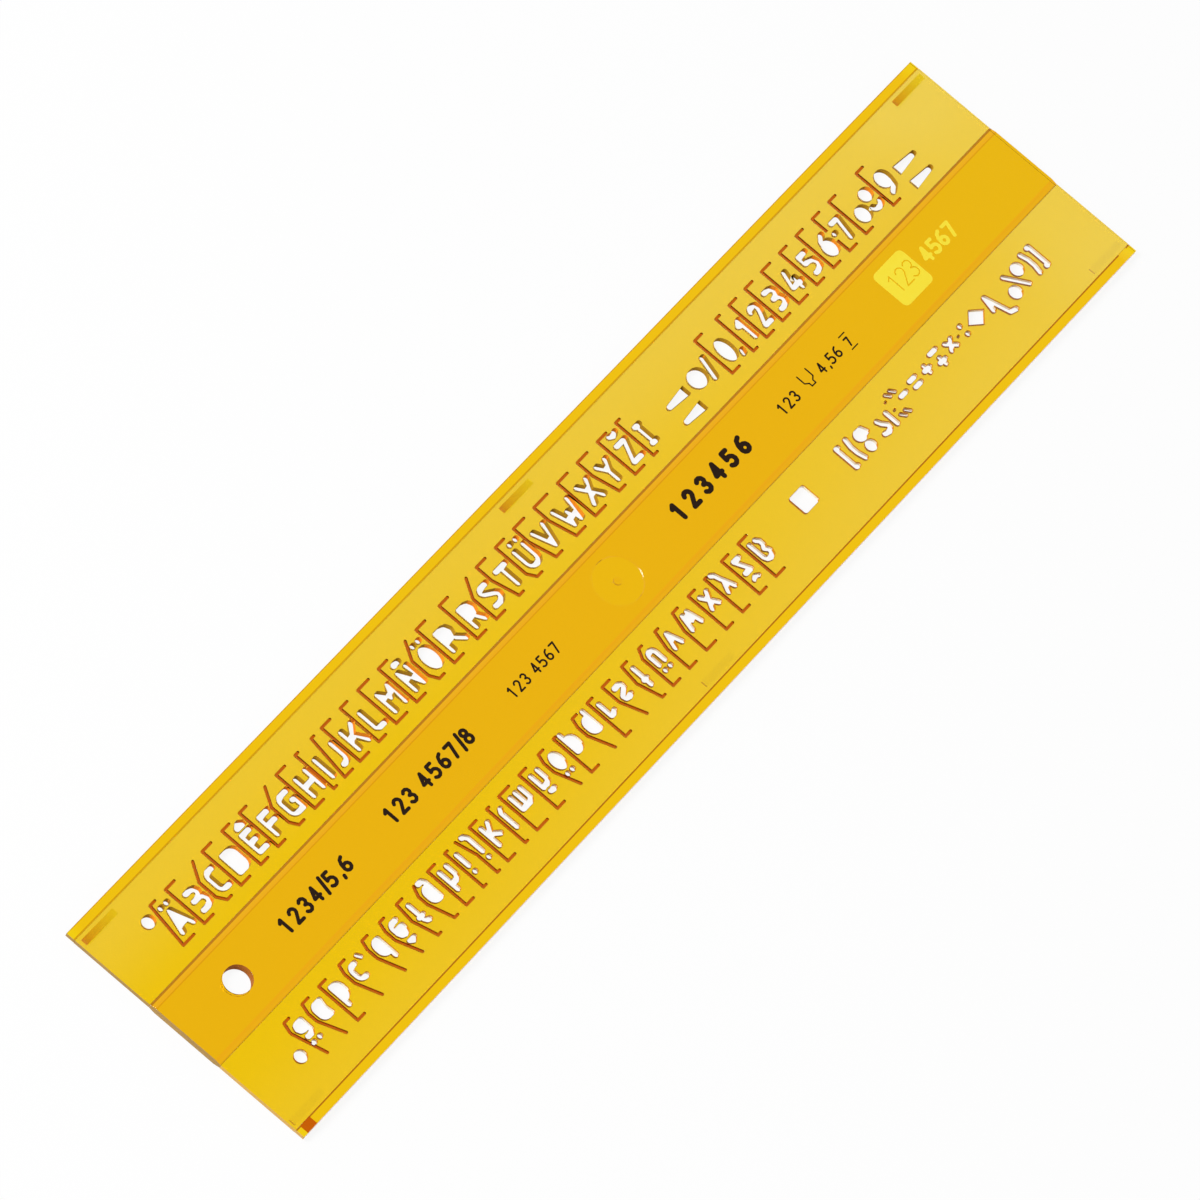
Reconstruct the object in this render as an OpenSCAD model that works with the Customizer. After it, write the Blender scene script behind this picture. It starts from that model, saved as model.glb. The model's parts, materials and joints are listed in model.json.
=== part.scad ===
// Lettering stencil: one see-through moulding with two lettering wings either side of a thick
// centre band. The capitals' wing reads the right way round from above, and the small letters'
// wing is turned over about the long axis before use. The plate lies flat in X and Y, with the
// hanging hole's end at -X and the capitals' edge at +Y, and it rests on Z = 0.

/* [Plate] */
// Length of the plate along the writing line
plate_l = 205; // [200:1:240]
// Width of the plate across both wings
plate_w = 45; // [44:0.5:60]
// Thickness of the two lettering wings
wing_t = 0.85; // [0.6:0.05:1.6]
// Height that the band and the paper rails stand proud of a wing's face
proud = 0.3; // [0.15:0.05:0.6]

/* [Centre band] */
// Width of the thick centre band, measured at its foot
band_w = 13.4; // [10:0.2:14]
// Width of the slope along each side of the band
band_slope = 1.1; // [0.4:0.1:2]
// Distance of the hanging hole from the end of the plate
hang_inset = 12; // [8:0.5:16]
// Diameter of the hanging hole
hang_d = 4.5; // [4.2:0.1:6]
// Diameter of the shallow dish that the gate was cut from
gate_d = 8; // [5:0.5:9]
// Depth of the gate dish
gate_depth = 0.15; // [0.05:0.05:0.3]
// Diameter of the gate's witness ring
gate_ring_d = 1.3; // [0.8:0.1:2]

/* [Edge rails] */
// Width of the paper rail along each long edge
rail_w = 1.6; // [1:0.1:2.4]
// Length over which a rail slopes away at each end
rail_run = 2; // [0.5:0.5:4]
// Distance from the end of the plate to where a rail begins
rail_inset = 0.9; // [0.5:0.1:3]

/* [Wedge feet] */
// Length of one wedge foot
foot_l = 7.1; // [4:0.1:9]
// Width of one wedge foot
foot_w = 1.1; // [0.6:0.1:2]
// Gap between a rail and the wedge feet beside it
foot_gap = 0.65; // [0.2:0.05:1.5]
// Distance of the outer wedge feet from the ends of the plate
foot_inset = 0.65; // [0.4:0.05:3]
// Height of the thin end of a wedge foot
foot_toe = 0.04; // [0.02:0.01:0.1]

/* [Lettering] */
// Height of a capital, measured along the middle of the slot
letter_h = 3.5; // [3:0.05:3.6]
// Width of the letter slots
slot_w = 0.95; // [0.8:0.01:1]
// Distance from a long edge to the writing line of its wing
line_inset = 11.97; // [11:0.05:12.5]
// Distance from the end of the plate to the first cell of capitals
capital_start = 10.75; // [10:0.25:14]
// Distance from the end of the plate to the first cell of small letters
small_start = 11.2; // [10:0.25:14]
// Distance from a capital's bracket to the middle of its first stroke
capital_lead = 1.55; // [1.4:0.05:1.7]
// Distance from a small letter's bracket to the middle of its first stroke
small_lead = 1.15; // [1:0.05:1.35]
// Diameter of the accents' dots
dot_d = 0.95; // [0.6:0.05:1]
// Diameter of the two small pin holes
pin_hole_d = 2.15; // [1.5:0.05:2.5]
// Distance of the capitals' pin hole from the end of the plate
capital_pin_x = 9.9; // [6:0.1:10]
// Distance of the capitals' pin hole from its long edge
capital_pin_y = 7.4; // [5:0.1:9]
// Distance of the small letters' pin hole from the end of the plate
small_pin_x = 9.5; // [6:0.1:10]
// Distance of the small letters' pin hole from its long edge
small_pin_y = 8.35; // [5:0.05:9]

/* [Signs] */
// Distance from the end of the plate to the first of the signs
signs_start = 144.1; // [142:0.1:147]
// Width of the slots of plus, minus and their kind
sign_w = 0.85; // [0.7:0.05:0.95]
// Width of the short strokes of the quotation marks
quote_w = 0.6; // [0.3:0.05:0.65]
// Diameter of the three pinprick holes for full stops
pinprick_d = 0.45; // [0.3:0.05:0.5]
// Side of the square window
window_side = 3.55; // [2.5:0.05:4.5]
// Corner radius of the square window
window_r = 0.45; // [0.2:0.05:1]
// Distance of the square window's middle from the end of the plate
window_x = 133.95; // [129:0.05:138]
// Length of the tapered slots
taper_l = 4.5; // [3:0.1:5]
// Width of the tapered slots at their wide end
taper_w = 1.75; // [1.2:0.05:2]
// Diameter of the round slot between the fraction marks
ring_d = 3.4; // [2.5:0.1:3.6]

/* [Spacing brackets] */
// Width of the engraved spacing brackets
groove_w = 0.46; // [0.2:0.02:0.5]
// Depth of the engraved spacing brackets
groove_depth = 0.35; // [0.1:0.05:0.45]
// Height of a spacing bracket
bracket_h = 7.45; // [7.3:0.05:8]
// Distance of a bracket's foot below the writing line
bracket_drop = 1.4; // [1:0.05:1.8]

/* [Printing] */
// Thickness of the printed and foiled marks
ink_t = 0.04; // [0.02:0.01:0.1]
// Distance of the first group of figures from the end of the plate
figures_left_x = 23; // [20:0.5:28]
// Distance of the second group of figures from the end of the plate
figures_middle_x = 47.7; // [46:0.1:52]
// Distance of the small group of figures from the end of the plate
figures_small_x = 76.3; // [74:0.1:80]
// Distance of the bold group of figures from the end of the plate
figures_bold_x = 117.5; // [112:0.5:120]
// Distance of the size key from the end of the plate
size_key_x = 142.7; // [140:0.1:145]
// Height of the large printed figures, along the middle of a stroke
figure_h = 2.35; // [2:0.05:3]
// Height of the small printed figures, along the middle of a stroke
small_figure_h = 1.75; // [1.2:0.05:2.2]
// Height of the bold figures, along the middle of a stroke
bold_figure_h = 2.6; // [2:0.1:4]
// Width of the strokes of the large figures
figure_stroke = 0.58; // [0.3:0.02:0.64]
// Width of the strokes of the small figures
small_figure_stroke = 0.3; // [0.2:0.02:0.4]
// Width of the strokes of the bold figures
bold_figure_stroke = 0.8; // [0.5:0.05:0.9]
// Step from one large figure to the next in the first group
figure_pitch = 2.3; // [2:0.05:2.4]
// Step from one large figure to the next in the second group
middle_pitch = 2.25; // [2:0.05:2.4]
// Step from one small figure to the next
small_figure_pitch = 1.58; // [1.4:0.02:1.7]
// Step from one bold figure to the next
bold_pitch = 3.15; // [2.4:0.05:3.3]
// Distance from the start of the size key to its drawing of a pen's point
key_point_gap = 6.3; // [5.5:0.1:6.4]
// Distance from the start of the size key to the line width beside the pen's point
key_width_gap = 9.8; // [9.4:0.1:10]
// Distance from the start of the size key to its figure between two bars
key_bars_gap = 16.2; // [15.6:0.1:17]
// Length of the two bars
key_bar_l = 1.5; // [1:0.1:2]
// Width of the two bars
key_bar_w = 0.2; // [0.1:0.05:0.3]
// Width of the line that draws the pen's point
key_line_w = 0.22; // [0.16:0.02:0.3]
// Distance of the yellow foil square from the end of the plate
foil_x = 170.8; // [166:0.1:174]
// Distance of the yellow foil figures from the end of the plate
foil_figures_x = 179.5; // [178:0.5:184]
// Side of the yellow foil square
foil_side = 7.1; // [5:0.1:9]
// Corner radius of the yellow foil square
foil_r = 0.9; // [0.3:0.1:2]
// Height of the fine figures left clear in the foil square
foil_clear_h = 3.1; // [2:0.1:3.6]
// Width of the strokes of those fine figures
foil_clear_w = 0.22; // [0.16:0.02:0.3]
// Step from one of those fine figures to the next
foil_clear_pitch = 1.9; // [1.7:0.05:2]
// Step from one yellow foil figure to the next
foil_pitch = 2.05; // [2:0.05:2.3]

/* [Hidden] */
$fn = 32;
eps = 0.02;
tenth = letter_h / 10;
left = -plate_l / 2;
band_t = wing_t + 2 * proud;
wing_top = proud + wing_t;
edge_y = plate_w / 2;
rail_y = edge_y - rail_w;
band_y = band_w / 2;
line_y = edge_y - line_inset;
foot_y = rail_y - foot_gap - foot_w;
foot_x = [foot_inset, (plate_l - foot_l) / 2, plate_l - foot_inset - foot_l];
foot_heel = 0.3;
end_steps = 6;
print_line = -1.1;
// Heights of the size key's bars above the print line, and the size of its figure between them
key_bar_y = [-0.5, 2.2];
key_small = 0.8;
// The foil square's middle above the middle of the band, and the margin of its clear figures
foil_rise = 0.4;
foil_margin = 1.2;
// The decimal point stands before the 7, and the 7's bracket is broken beside it
point_at = [-2.6, 5.9];
bracket_gap = 2;
amber = [0.95, 0.77, 0.08];
amber_thick = [0.92, 0.7, 0.03];
black = [0.12, 0.08, 0.05];
foil = [1, 0.9, 0.25];

// Each cell of the capitals' row: its width, how far the bracket's foot leans in and how long
// that lean is, the same for its top, and how far the foot's and the top's arms reach
capital_cells = [
  [4.85, 0, 0, 1.3, 7.45, 2.4, 2.4],     // A with two dots
  [4.4, 0, 0, 0, 0, 2, 2],               // B
  [4.1, 0.9, 1.45, 1.9, 2.8, 1.8, 1.9],  // C
  [4.6, 0, 0, 0, 0, 2, 2],               // D
  [4.05, 0, 0, 0, 0, 1.6, 1.6],          // E with a roof
  [4.1, 0, 0, 0, 0, 1.55, 1.55],         // F
  [4.5, 0.8, 1.35, 1.85, 2.8, 1.9, 1.85], // G
  [4.45, 0, 0, 0, 0, 2, 2],              // H
  [2.6, 0, 0, 0, 0, 0.65, 0.65],         // I
  [3.6, 0, 0, 1.2, 7.45, 1.8, 1.8],      // J
  [4.45, 0, 0, 0, 0, 2, 2],              // K
  [4.15, 0, 0, 0, 0, 1.6, 1.6],          // L
  [4.9, 0, 0, 0, 0, 2.5, 2.5],           // M
  [4.6, 0, 0, 0, 0, 2, 2],               // N with a wave
  [4.4, 0.8, 1.45, 1.8, 2.8, 1.9, 1.8],  // O with two dots
  [5.55, 0, 0, 0, 0, 2.1, 2.1],          // P, with the tail that makes an O into a Q
  [4.55, 0, 0, 0, 0, 2, 2],              // R
  [4.4, 0, 0, 1.9, 2.9, 2, 1.9],         // S
  [4.6, 1.1, 4.45, 0, 0, 2.1, 2.1],      // T
  [4.4, 0.9, 1.45, 0, 0, 2, 2],          // U with two dots
  [4.95, 1.1, 4.45, 0, 0, 2.5, 2.5],     // V
  [5.75, 1.1, 4.45, 0, 0, 3.2, 3.2],     // W
  [4.85, 0, 0, 0, 0, 2.4, 2.4],          // X
  [4.95, 1, 4.45, 0, 0, 2.4, 2.4],       // Y
  [4.5, 0, 0, 0, 0, 2.1, 2.1],           // Z with a caron
  [19.6, 0, 0, 0, 0, 0.9, 0.9],          // I with feet, then the fraction marks
  [5.3, 0, 0, 0, 0, 1.7, 1.7],           // 0 and the comma
  [3.3, 0, 0, 0, 0, 0.9, 0.9],           // 1
  [4, 0, 0, 0, 0, 1.7, 1.7],             // 2
  [4.15, 0, 0, 0, 0, 1.8, 1.8],          // 3
  [4.55, 0, 0, 0, 0, 2.1, 2.1],          // 4
  [4.2, 0, 0, 0, 0, 1.7, 1.7],           // 5
  [4.1, 0, 0, 0, 0, 1.6, 1.6],           // 6
  [4.2, 0, 0, 0, 0, 1.7, 1.7],           // 7
  [7, 0, 0, 0, 0, 1.6, 1.6],             // 8
  [5, 0, 0, 0, 0, 1.6, 1.6]              // 9
];
// The same for the small letters' row, as it reads when the plate is turned over
small_cells = [
  [4.2, 0.5, 1.6, 1.5, 5.6, 1.6, 1.5],   // a with two dots
  [4.4, 0.5, 1.6, 1.7, 4.2, 1.9, 1.7],   // open a
  [4.2, 0, 0, 0, 0, 1.5, 1.5],           // b
  [5.4, 0.5, 1.5, 1.5, 4, 1.7, 1.5],     // c and an apostrophe
  [4.1, 0.5, 1.5, 1.5, 4.1, 1.7, 1.5],   // d
  [4.1, 0.5, 1.6, 1.5, 4, 1.5, 1.5],     // e with a roof
  [3.7, 0.4, 3.3, 1.1, 4.1, 1.7, 1.7],   // f
  [4.1, 0.75, 1.6, 1.3, 4.2, 0.75, 2],   // g
  [4.05, 0, 0, 0, 0, 1.6, 1.6],          // h
  [3.3, 0, 0, 0, 0, 0.6, 0.6],           // i
  [2.55, -0.8, 3.5, 0, 0, -0.8, 0.5],    // j
  [4.15, 0, 0, 0, 0, 1.6, 1.6],          // k
  [2.85, 0, 0, 0, 0, 0.5, 0.5],          // l
  [4.9, 0, 0, 0, 0, 2.4, 2.4],           // m
  [4.15, 0, 0, 0, 0, 1.6, 1.6],          // n with a wave
  [4.1, 0.5, 1.5, 1.5, 4, 1.6, 1.5],     // o with two dots
  [4.1, 0, 0, 0, 0, 0.5, 1.6],           // p
  [4.1, 0.5, 1.5, 1.6, 4.1, 1.5, 1.6],   // q
  [3.65, 0, 0, 0, 0, 1.2, 1.2],          // r
  [4.25, 0, 0, 1.6, 4.1, 1.7, 1.6],      // s
  [3.75, 0.5, 3.3, 1.1, 4.1, 1.7, 1.7],  // t
  [4, 0.9, 1.5, 0, 0, 1.6, 1.6],         // u with two dots
  [4.2, 0.9, 3.1, 0, 0, 1.6, 1.6],       // v
  [4.9, 1, 3.1, 0, 0, 2.2, 2.2],         // w
  [4, 0, 0, 0, 0, 1.5, 1.5],             // x
  [4.2, 0, 0, 0, 0, 0.4, 1.6],           // y
  [4.1, 0, 0, 0, 0, 1.6, 1.6],           // z with a caron
  [23, 0, 0, 0, 0, 2, 2]                 // sharp s, then the signs
];

// Where cell i begins, counted from the first cell of its row
function cell_x(cells, i) = i == 0 ? 0 : cells[i - 1][0] + cell_x(cells, i - 1);

// Points round an arc, from angle a to angle b
function bow(middle, r, a, b, steps = 4) =
  [for (i = [0 : steps]) middle + r * [cos(a + (b - a) * i / steps), sin(a + (b - a) * i / steps)]];

// One straight run of a slot, with its round ends
module bar(a, b, width) {
  run = b - a;
  turn = atan2(run.y, run.x);
  polygon(concat(
    bow(b, width / 2, turn - 90, turn + 90, end_steps), bow(a, width / 2, turn + 90, turn + 270, end_steps)
  ));
}

// The slot that a pen of this width cuts along a path, with the path given in tenths of the
// letter height from the start of the writing line
module pen(path, width = slot_w) {
  for (i = [1 : len(path) - 1]) bar(path[i - 1] * tenth, path[i] * tenth, width);
}

// A slot round a closed path, with the middle cut out too, as no loose island may be left
module blob(path, width = slot_w) {
  pen(concat(path, [path[0]]), width);
  polygon([for (p = path) p * tenth]);
}

// An oval opening, by its middle and its half width and half height in millimetres
module oval(middle, half) {
  steps = 32;
  polygon([for (i = [1 : steps]) middle * tenth
    + [half.x * cos(i * 360 / steps), half.y * sin(i * 360 / steps)]]);
}

module dots(a, b, y) {
  for (x = [a, b]) translate([x, y] * tenth) circle(d = dot_d);
}

// A line of the engraved bracket beside a letter
module bracket(cell) {
  foot = -bracket_drop;
  top = foot + bracket_h;
  line = [
    if (cell[5] != cell[1]) [cell[5], foot],
    [cell[1], foot],
    if (cell[2] > 0) [0, foot + cell[2]],
    if (cell[4] > 0 && cell[4] < bracket_h) [0, top - cell[4]],
    [cell[3], top],
    if (cell[6] != cell[3]) [cell[6], top]
  ];
  pen(line / tenth, groove_w);
}

// Capitals
module capital_a() {
  pen([[0, 0], [3.5, 10], [7, 0]]);
  pen([[1.2, 3], [5.8, 3]]);
  polygon([[1.6, 3], [3.5, 9], [5.4, 3]] * tenth);
  dots(1.6, 5.3, 13.4);
}
module capital_b() {
  pen(concat([[0, 10]], bow([2.4, 7.67], 2.33, 90, -90), [[0, 5.34]]));
  pen(concat(bow([3, 2.67], 2.67, 90, -90), [[0, 0]]));
}
module capital_c() {
  pen(concat([[4.7, 10]], bow([2.6, 7.4], 2.6, 90, 180), bow([2.6, 2.6], 2.6, 180, 270), [[4.7, 0]]));
}
module capital_d() {
  blob(concat([[0, 0], [0, 10]], bow([3.3, 7.2], 2.8, 90, 0), bow([3.3, 2.8], 2.8, 0, -90)));
}
module capital_e() {
  pen([[4.9, 10], [0, 10], [0, 0], [4.9, 0]]);
  pen([[0, 5.3], [3.8, 5.3]]);
  blob([[0.9, 13.3], [2.8, 14.7], [4.6, 13.3]]);
}
module capital_f() {
  pen([[5.1, 10], [0, 10], [0, 0]]);
  pen([[0, 5.3], [5.1, 5.3]]);
}
module capital_g() {
  pen(concat([[6.1, 10]], bow([2.6, 7.4], 2.6, 90, 180), bow([2.6, 2.6], 2.6, 180, 270),
    [[6.1, 0], [6.1, 5.3], [4.7, 5.3]]));
}
module capital_h() {
  pen([[0, 0], [0, 10]]);
  pen([[6.3, 0], [6.3, 10]]);
  pen([[0, 5.2], [6.3, 5.2]]);
}
module capital_i() {
  pen([[0, 0], [0, 10]]);
}
module capital_j() {
  pen(concat([[3.5, 10]], bow([0.7, 2.8], 2.8, 0, -90), [[0, 0]]));
}
module capital_k() {
  pen([[0, 0], [0, 10]]);
  pen([[0, 3.6], [6.5, 10]]);
  pen([[2.5, 6], [6.4, 0]]);
}
module capital_l() {
  pen([[0, 10], [0, 1.2], [1.2, 0], [4.6, 0]]);
}
module capital_m() {
  pen([[0, 0], [0, 10], [3.45, 5.4], [6.9, 10], [6.9, 0]]);
}
module capital_n() {
  pen([[0, 0], [0, 10], [5.4, 0], [5.4, 10]]);
  pen([[1.3, 13.5], [2.7, 13.9], [4.1, 13.6]]);
}
module capital_o() {
  oval([2.9, 5], [1.48, 2.2]);
  dots(1.1, 4.8, 13.5);
}
module capital_p() {
  pen([[0, 0], [0, 10]]);
  blob(concat([[0, 4.4], [0, 10]], bow([3.2, 7.2], 2.8, 90, -90)));
  pen([[5.4, 3.4], [8.7, 0]]);
}
module capital_r() {
  pen([[0, 0], [0, 10]]);
  blob(concat([[0, 4.6], [0, 10]], bow([3, 7.3], 2.7, 90, -90)));
  pen([[3.2, 4.6], [5.9, 0]]);
}
module capital_s() {
  pen([[5.2, 10], [2.4, 10], [0.7, 9.4], [0.1, 8.2], [0.8, 7], [4.9, 4.4], [6, 3.2], [5.6, 1.4], [3.8, 0],
    [0.3, 0.1]]);
}
module capital_t() {
  pen([[0, 10], [6.3, 10]]);
  pen([[3.15, 10], [3.15, 0]]);
}
module capital_u() {
  pen(concat([[0, 10]], bow([3, 3], 3, 180, 360, 6), [[6, 10]]));
  dots(1.2, 5, 13.7);
}
module capital_v() {
  pen([[0, 10], [3.45, 0], [6.9, 10]]);
}
module capital_w() {
  pen([[0, 10], [2.7, 0], [4.9, 5.9], [7.1, 0], [9.7, 10]]);
}
module capital_x() {
  pen([[0, 0], [6.5, 10]]);
  pen([[0, 10], [6.5, 0]]);
}
module capital_y() {
  pen([[0, 10], [3, 5.3], [6, 10]]);
  pen([[3, 5.3], [3, 0]]);
}
module capital_z() {
  pen([[0, 10], [5.3, 10], [0, 0], [5.4, 0]]);
  pen([[1.1, 15.1], [2.9, 14.1], [4.7, 15.1]]);
}
module capital_i_with_feet() {
  pen([[0, 0], [2.3, 0]]);
  pen([[1.15, 0], [1.15, 10]]);
  pen([[0, 10], [2.3, 10]]);
}

// Figures of the capitals' row
module figure_0() {
  oval([2.3, 5], [1.3, 2.2]);
  pen([[7.5, 0.2], [6.9, -1.7]], 0.8);
}
module figure_1() {
  blob([[0, 8.1], [2.2, 10], [2.2, 7.2]]);
  pen([[2.2, 10], [2.2, 0]]);
}
module figure_2() {
  pen([[0, 8.4], [0.6, 9.5], [2.1, 10.1], [3.8, 9.3], [4.2, 7.7], [3.4, 5.6], [0.2, 0], [4.6, 0]]);
}
module figure_3() {
  pen(concat([[0, 10]], bow([2.1, 7.67], 2.33, 90, -90), [[1, 5.34]]));
  pen(concat(bow([2, 2.67], 2.67, 90, -90), [[0, 0]]));
}
module figure_4() {
  pen([[2.6, 10], [0, 2.6], [5.4, 2.6]]);
  pen([[3.9, 5.4], [3.9, 0.2]]);
}
module figure_5() {
  pen(concat([[4, 10], [0, 10], [0, 6]], bow([1.9, 3], 3, 90, -90), [[0.2, 0]]));
}
module figure_6() {
  oval([2.4, 3.2], [1.35, 1.6]);
  pen([[0.5, 4.5], [1.3, 7.4], [3.9, 9.8]]);
}
module figure_7() {
  pen([[0, 10], [4.2, 10], [1.8, 0]]);
  translate(point_at * tenth) circle(d = dot_d);
}
module figure_8() {
  oval([2.4, 2.9], [1.35, 1.5]);
  oval([10.5, 8], [1.2, 1.2]);
  pen(bow([10.5, 3], 3, 200, 340, 6));
}
module figure_9() {
  oval([2.4, 7.2], [1.35, 1.6]);
  pen([[4.85, 5.7], [3.9, 2.2], [0.9, 0.2]]);
}

// Small letters
module small_a() {
  blob(concat(bow([1.9, 1.85], 1.85, 90, 270), [[4.6, 0], [4.6, 3.7]]));
  pen([[4.6, 3.7], [4.6, 5.4], [3.4, 6.9], [0.9, 6.9]]);
  dots(1, 4.7, 10.3);
}
module small_open_a() {
  blob(concat(bow([2.2, 4.8], 2.2, 90, 180), bow([2.2, 2.2], 2.2, 180, 270), [[5, 0], [4, 3.4], [4.5, 7]]));
}
module small_b() {
  pen([[0, 0], [0, 10]]);
  blob(concat([[0, 0]], bow([1.4, 2.6], 2.6, -90, 0), bow([1.4, 4.4], 2.6, 0, 90), [[0, 7]]));
}
module small_c() {
  pen(concat([[3.4, 7]], bow([2.4, 4.6], 2.4, 90, 180), bow([2.4, 2.4], 2.4, 180, 270), [[3.8, 0]]));
  pen([[7, -1.7], [8, 0.1]], 0.75);
}
module small_d() {
  blob(concat(bow([2.6, 4.4], 2.6, 90, 180), bow([2.6, 2.6], 2.6, 180, 270), [[3.8, 0], [3.8, 7]]));
  pen([[3.8, 0], [3.8, 10]]);
}
module small_e() {
  blob(bow([2.15, 4.85], 2.15, 0, 180));
  blob([[0, 3.5], [0, 4.85], [4.3, 4.85], [4.3, 3.5]]);
  pen(concat([[0, 3.5]], bow([2.2, 2.2], 2.2, 180, 270), [[4.2, 0]]));
  blob([[0.9, 10.3], [2.5, 11.5], [4.1, 10.3]], 0.8);
}
module small_f() {
  pen([[1.3, 0], [1.3, 8.2], [2.1, 9.6], [3.3, 10]]);
  pen([[0, 6.8], [3.1, 6.6]], 0.8);
}
module small_g() {
  blob(concat(bow([2.4, 4.6], 2.4, 90, 180), bow([2.4, 2.4], 2.4, 180, 270), [[4.1, 0], [4.1, 7]]));
  pen([[4.1, 0], [4.1, -1.5], [3.1, -3.3], [1, -3.3]]);
}
module small_h() {
  pen([[0, 0], [0, 10]]);
  pen(concat(bow([2.3, 4.7], 2.3, 150, 0), [[4.6, 0]]));
}
module small_i() {
  pen([[0, 0], [0, 6.6]]);
  dots(0, 0, 10.2);
}
module small_j() {
  pen([[-2.1, -3.4], [-1.1, -3.1], [0, -1.4], [0, 6.6]]);
  dots(0, 0, 10.2);
}
module small_k() {
  pen([[0, 0], [0, 10]]);
  pen([[0.3, 3.4], [4.7, 7]]);
  pen([[1.4, 4.2], [4.4, 0]]);
}
module small_l() {
  pen([[0, 10], [0, 1.6], [1.2, 0]]);
}
module small_m() {
  pen([[0, 0], [0, 7], [5.2, 7], [6.7, 5.6], [6.7, 0]]);
  pen([[3.35, 0], [3.35, 7]]);
}
module small_n() {
  pen([[0, 0], [0, 7]]);
  pen(concat(bow([2.2, 4.8], 2.2, 150, 0), [[4.4, 0]]));
  pen([[1.1, 10.1], [2.3, 10.4], [3.5, 10.2]]);
}
module small_o() {
  oval([2.2, 3.5], [1.22, 1.7]);
  dots(0.7, 3.9, 10.4);
}
module small_p() {
  pen([[0, -3], [0, 7]]);
  blob(concat([[0, 0]], bow([1.4, 2.6], 2.6, -90, 0), bow([1.4, 4.4], 2.6, 0, 90), [[0, 7]]));
}
module small_q() {
  blob(concat(bow([2.6, 4.4], 2.6, 90, 180), bow([2.6, 2.6], 2.6, 180, 270), [[4.1, 0], [4.1, 7]]));
  pen([[4.1, -3], [4.1, 7]]);
}
module small_r() {
  pen([[0, 0], [0, 7], [1.8, 7], [3, 6.2]]);
}
module small_s() {
  pen([[3.8, 6.5], [2.1, 7], [0.4, 6.5], [0.1, 5.1], [3.9, 2.5], [4, 1], [2.8, 0], [0.1, 0.2]]);
}
module small_t() {
  pen([[1.3, 0], [1.3, 10]]);
  blob([[0.1, 6.8], [1.3, 8], [2.7, 6.8], [1.3, 5.6]], 0.75);
}
module small_u() {
  pen(concat([[0, 7]], bow([1.9, 1.9], 1.9, 180, 360), [[3.8, 7]]));
  dots(0.2, 3.6, 10.4);
}
module small_v() {
  pen([[0, 7], [2.3, 0.2], [4.6, 7]]);
}
module small_w() {
  pen([[0, 7], [1.8, 0], [3.3, 4], [4.8, 0], [6.3, 7]]);
}
module small_x() {
  pen([[0, 0], [4.6, 7]]);
  pen([[0, 7], [4.6, 0]]);
}
module small_y() {
  pen([[4.5, 7], [2, 0.6], [1.2, -2.2], [-0.1, -3.2]]);
  pen([[0, 7], [2.6, 2.2]]);
}
module small_z() {
  pen([[0, 7], [3.7, 7], [0.4, 0], [3.9, 0]]);
  pen([[0.5, 11.5], [2.1, 10.5], [3.7, 11.5]], 0.8);
}
module small_sharp_s() {
  pen(concat([[0, 0]], bow([2.45, 7.6], 2.45, 180, 0), [[4.6, 6.6], [3.5, 5.4], [4.8, 3.9], [4.9, 1.8],
    [3.6, 0.2]]));
}

// Marks for fractions and per thousand, beside the last capital and the last figure
module tapered_slot(l, a, b) {
  translate([a / 2, 0]) circle(d = a);
  polygon([[a / 2, -a / 2], [l, -b / 2], [l, b / 2], [a / 2, a / 2]]);
}
module fraction_marks() {
  for (y = [5.3, -4.3]) translate([17.3, y] * tenth) tapered_slot(taper_l, slot_w, taper_w);
  translate([38.4, 5.3] * tenth) circle(d = ring_d);
  pen([[44.7, 0.1], [47.6, 9.9]]);
}
module end_marks() {
  for (y = [5.5, -4.1])
    translate([23.2, y] * tenth) rotate(180) tapered_slot(taper_l, slot_w, taper_w);
}

// Signs, measured in tenths of the letter height from the first of them
module square_bracket_sign() {
  pen([[1.1, -1.3], [0, -1.3], [0, 10.1], [1.1, 10.1]]);
}
module round_bracket_sign() {
  pen([[0.9, -1.3], [0, 2.5], [0, 6.3], [0.9, 10.1]]);
}
module and_sign() {
  oval([2.3, 1.9], [1.25, 1.15]);
  pen([[2.6, 0.1], [4.8, 0.1], [5.8, 2.8]]);
  oval([2, 8.3], [1.05, 1.05]);
}
module question_mark() {
  pen([[1.9, 3.2], [2.7, 5.2], [4.6, 7.5], [4.2, 9.2], [2.6, 10], [0, 9.3]]);
}
module exclamation_mark() {
  pen([[0, 3.4], [0, 10]]);
}
module quote_marks() {
  for (p = [[-1, -2.2], [2.1, -2.2], [-3.2, 8.3], [0, 8.3]]) pen([p, p + [1.6, 2.2]], quote_w);
}
module equals_sign() {
  for (y = [1.5, 5.1]) pen([[0, y], [4, y]], sign_w);
}
module plus_sign() {
  pen([[-1.9, 0], [1.9, 0]], sign_w);
  pen([[0, -1.9], [0, 1.9]], sign_w);
}
module plus_minus_sign() {
  pen([[-2.2, -0.2], [2.2, -0.2]], sign_w);
  translate([0, 5.7] * tenth) plus_sign();
}
module times_sign() {
  pen([[0, 1.4], [4.2, 5.6]], sign_w);
  pen([[0, 5.6], [4.2, 1.4]], sign_w);
}
module rhombus() {
  polygon([[-5.7, 0], [0, -4.7], [5.7, 0], [0, 4.7]] * tenth);
}
module root_sign() {
  pen([[0, 6.7], [1.6, 0.1], [5, 12.4], [8, 13.4]]);
}
module percent_sign() {
  oval([0, 8.3], [1.2, 1.2]);
  oval([9.3, 1.9], [1.2, 1.2]);
  pen([[1.3, -0.1], [8, 10.1]], sign_w);
}
module sign(x, y = 0) {
  translate([left + signs_start, line_y] + [x, y] * tenth) children();
}
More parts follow.
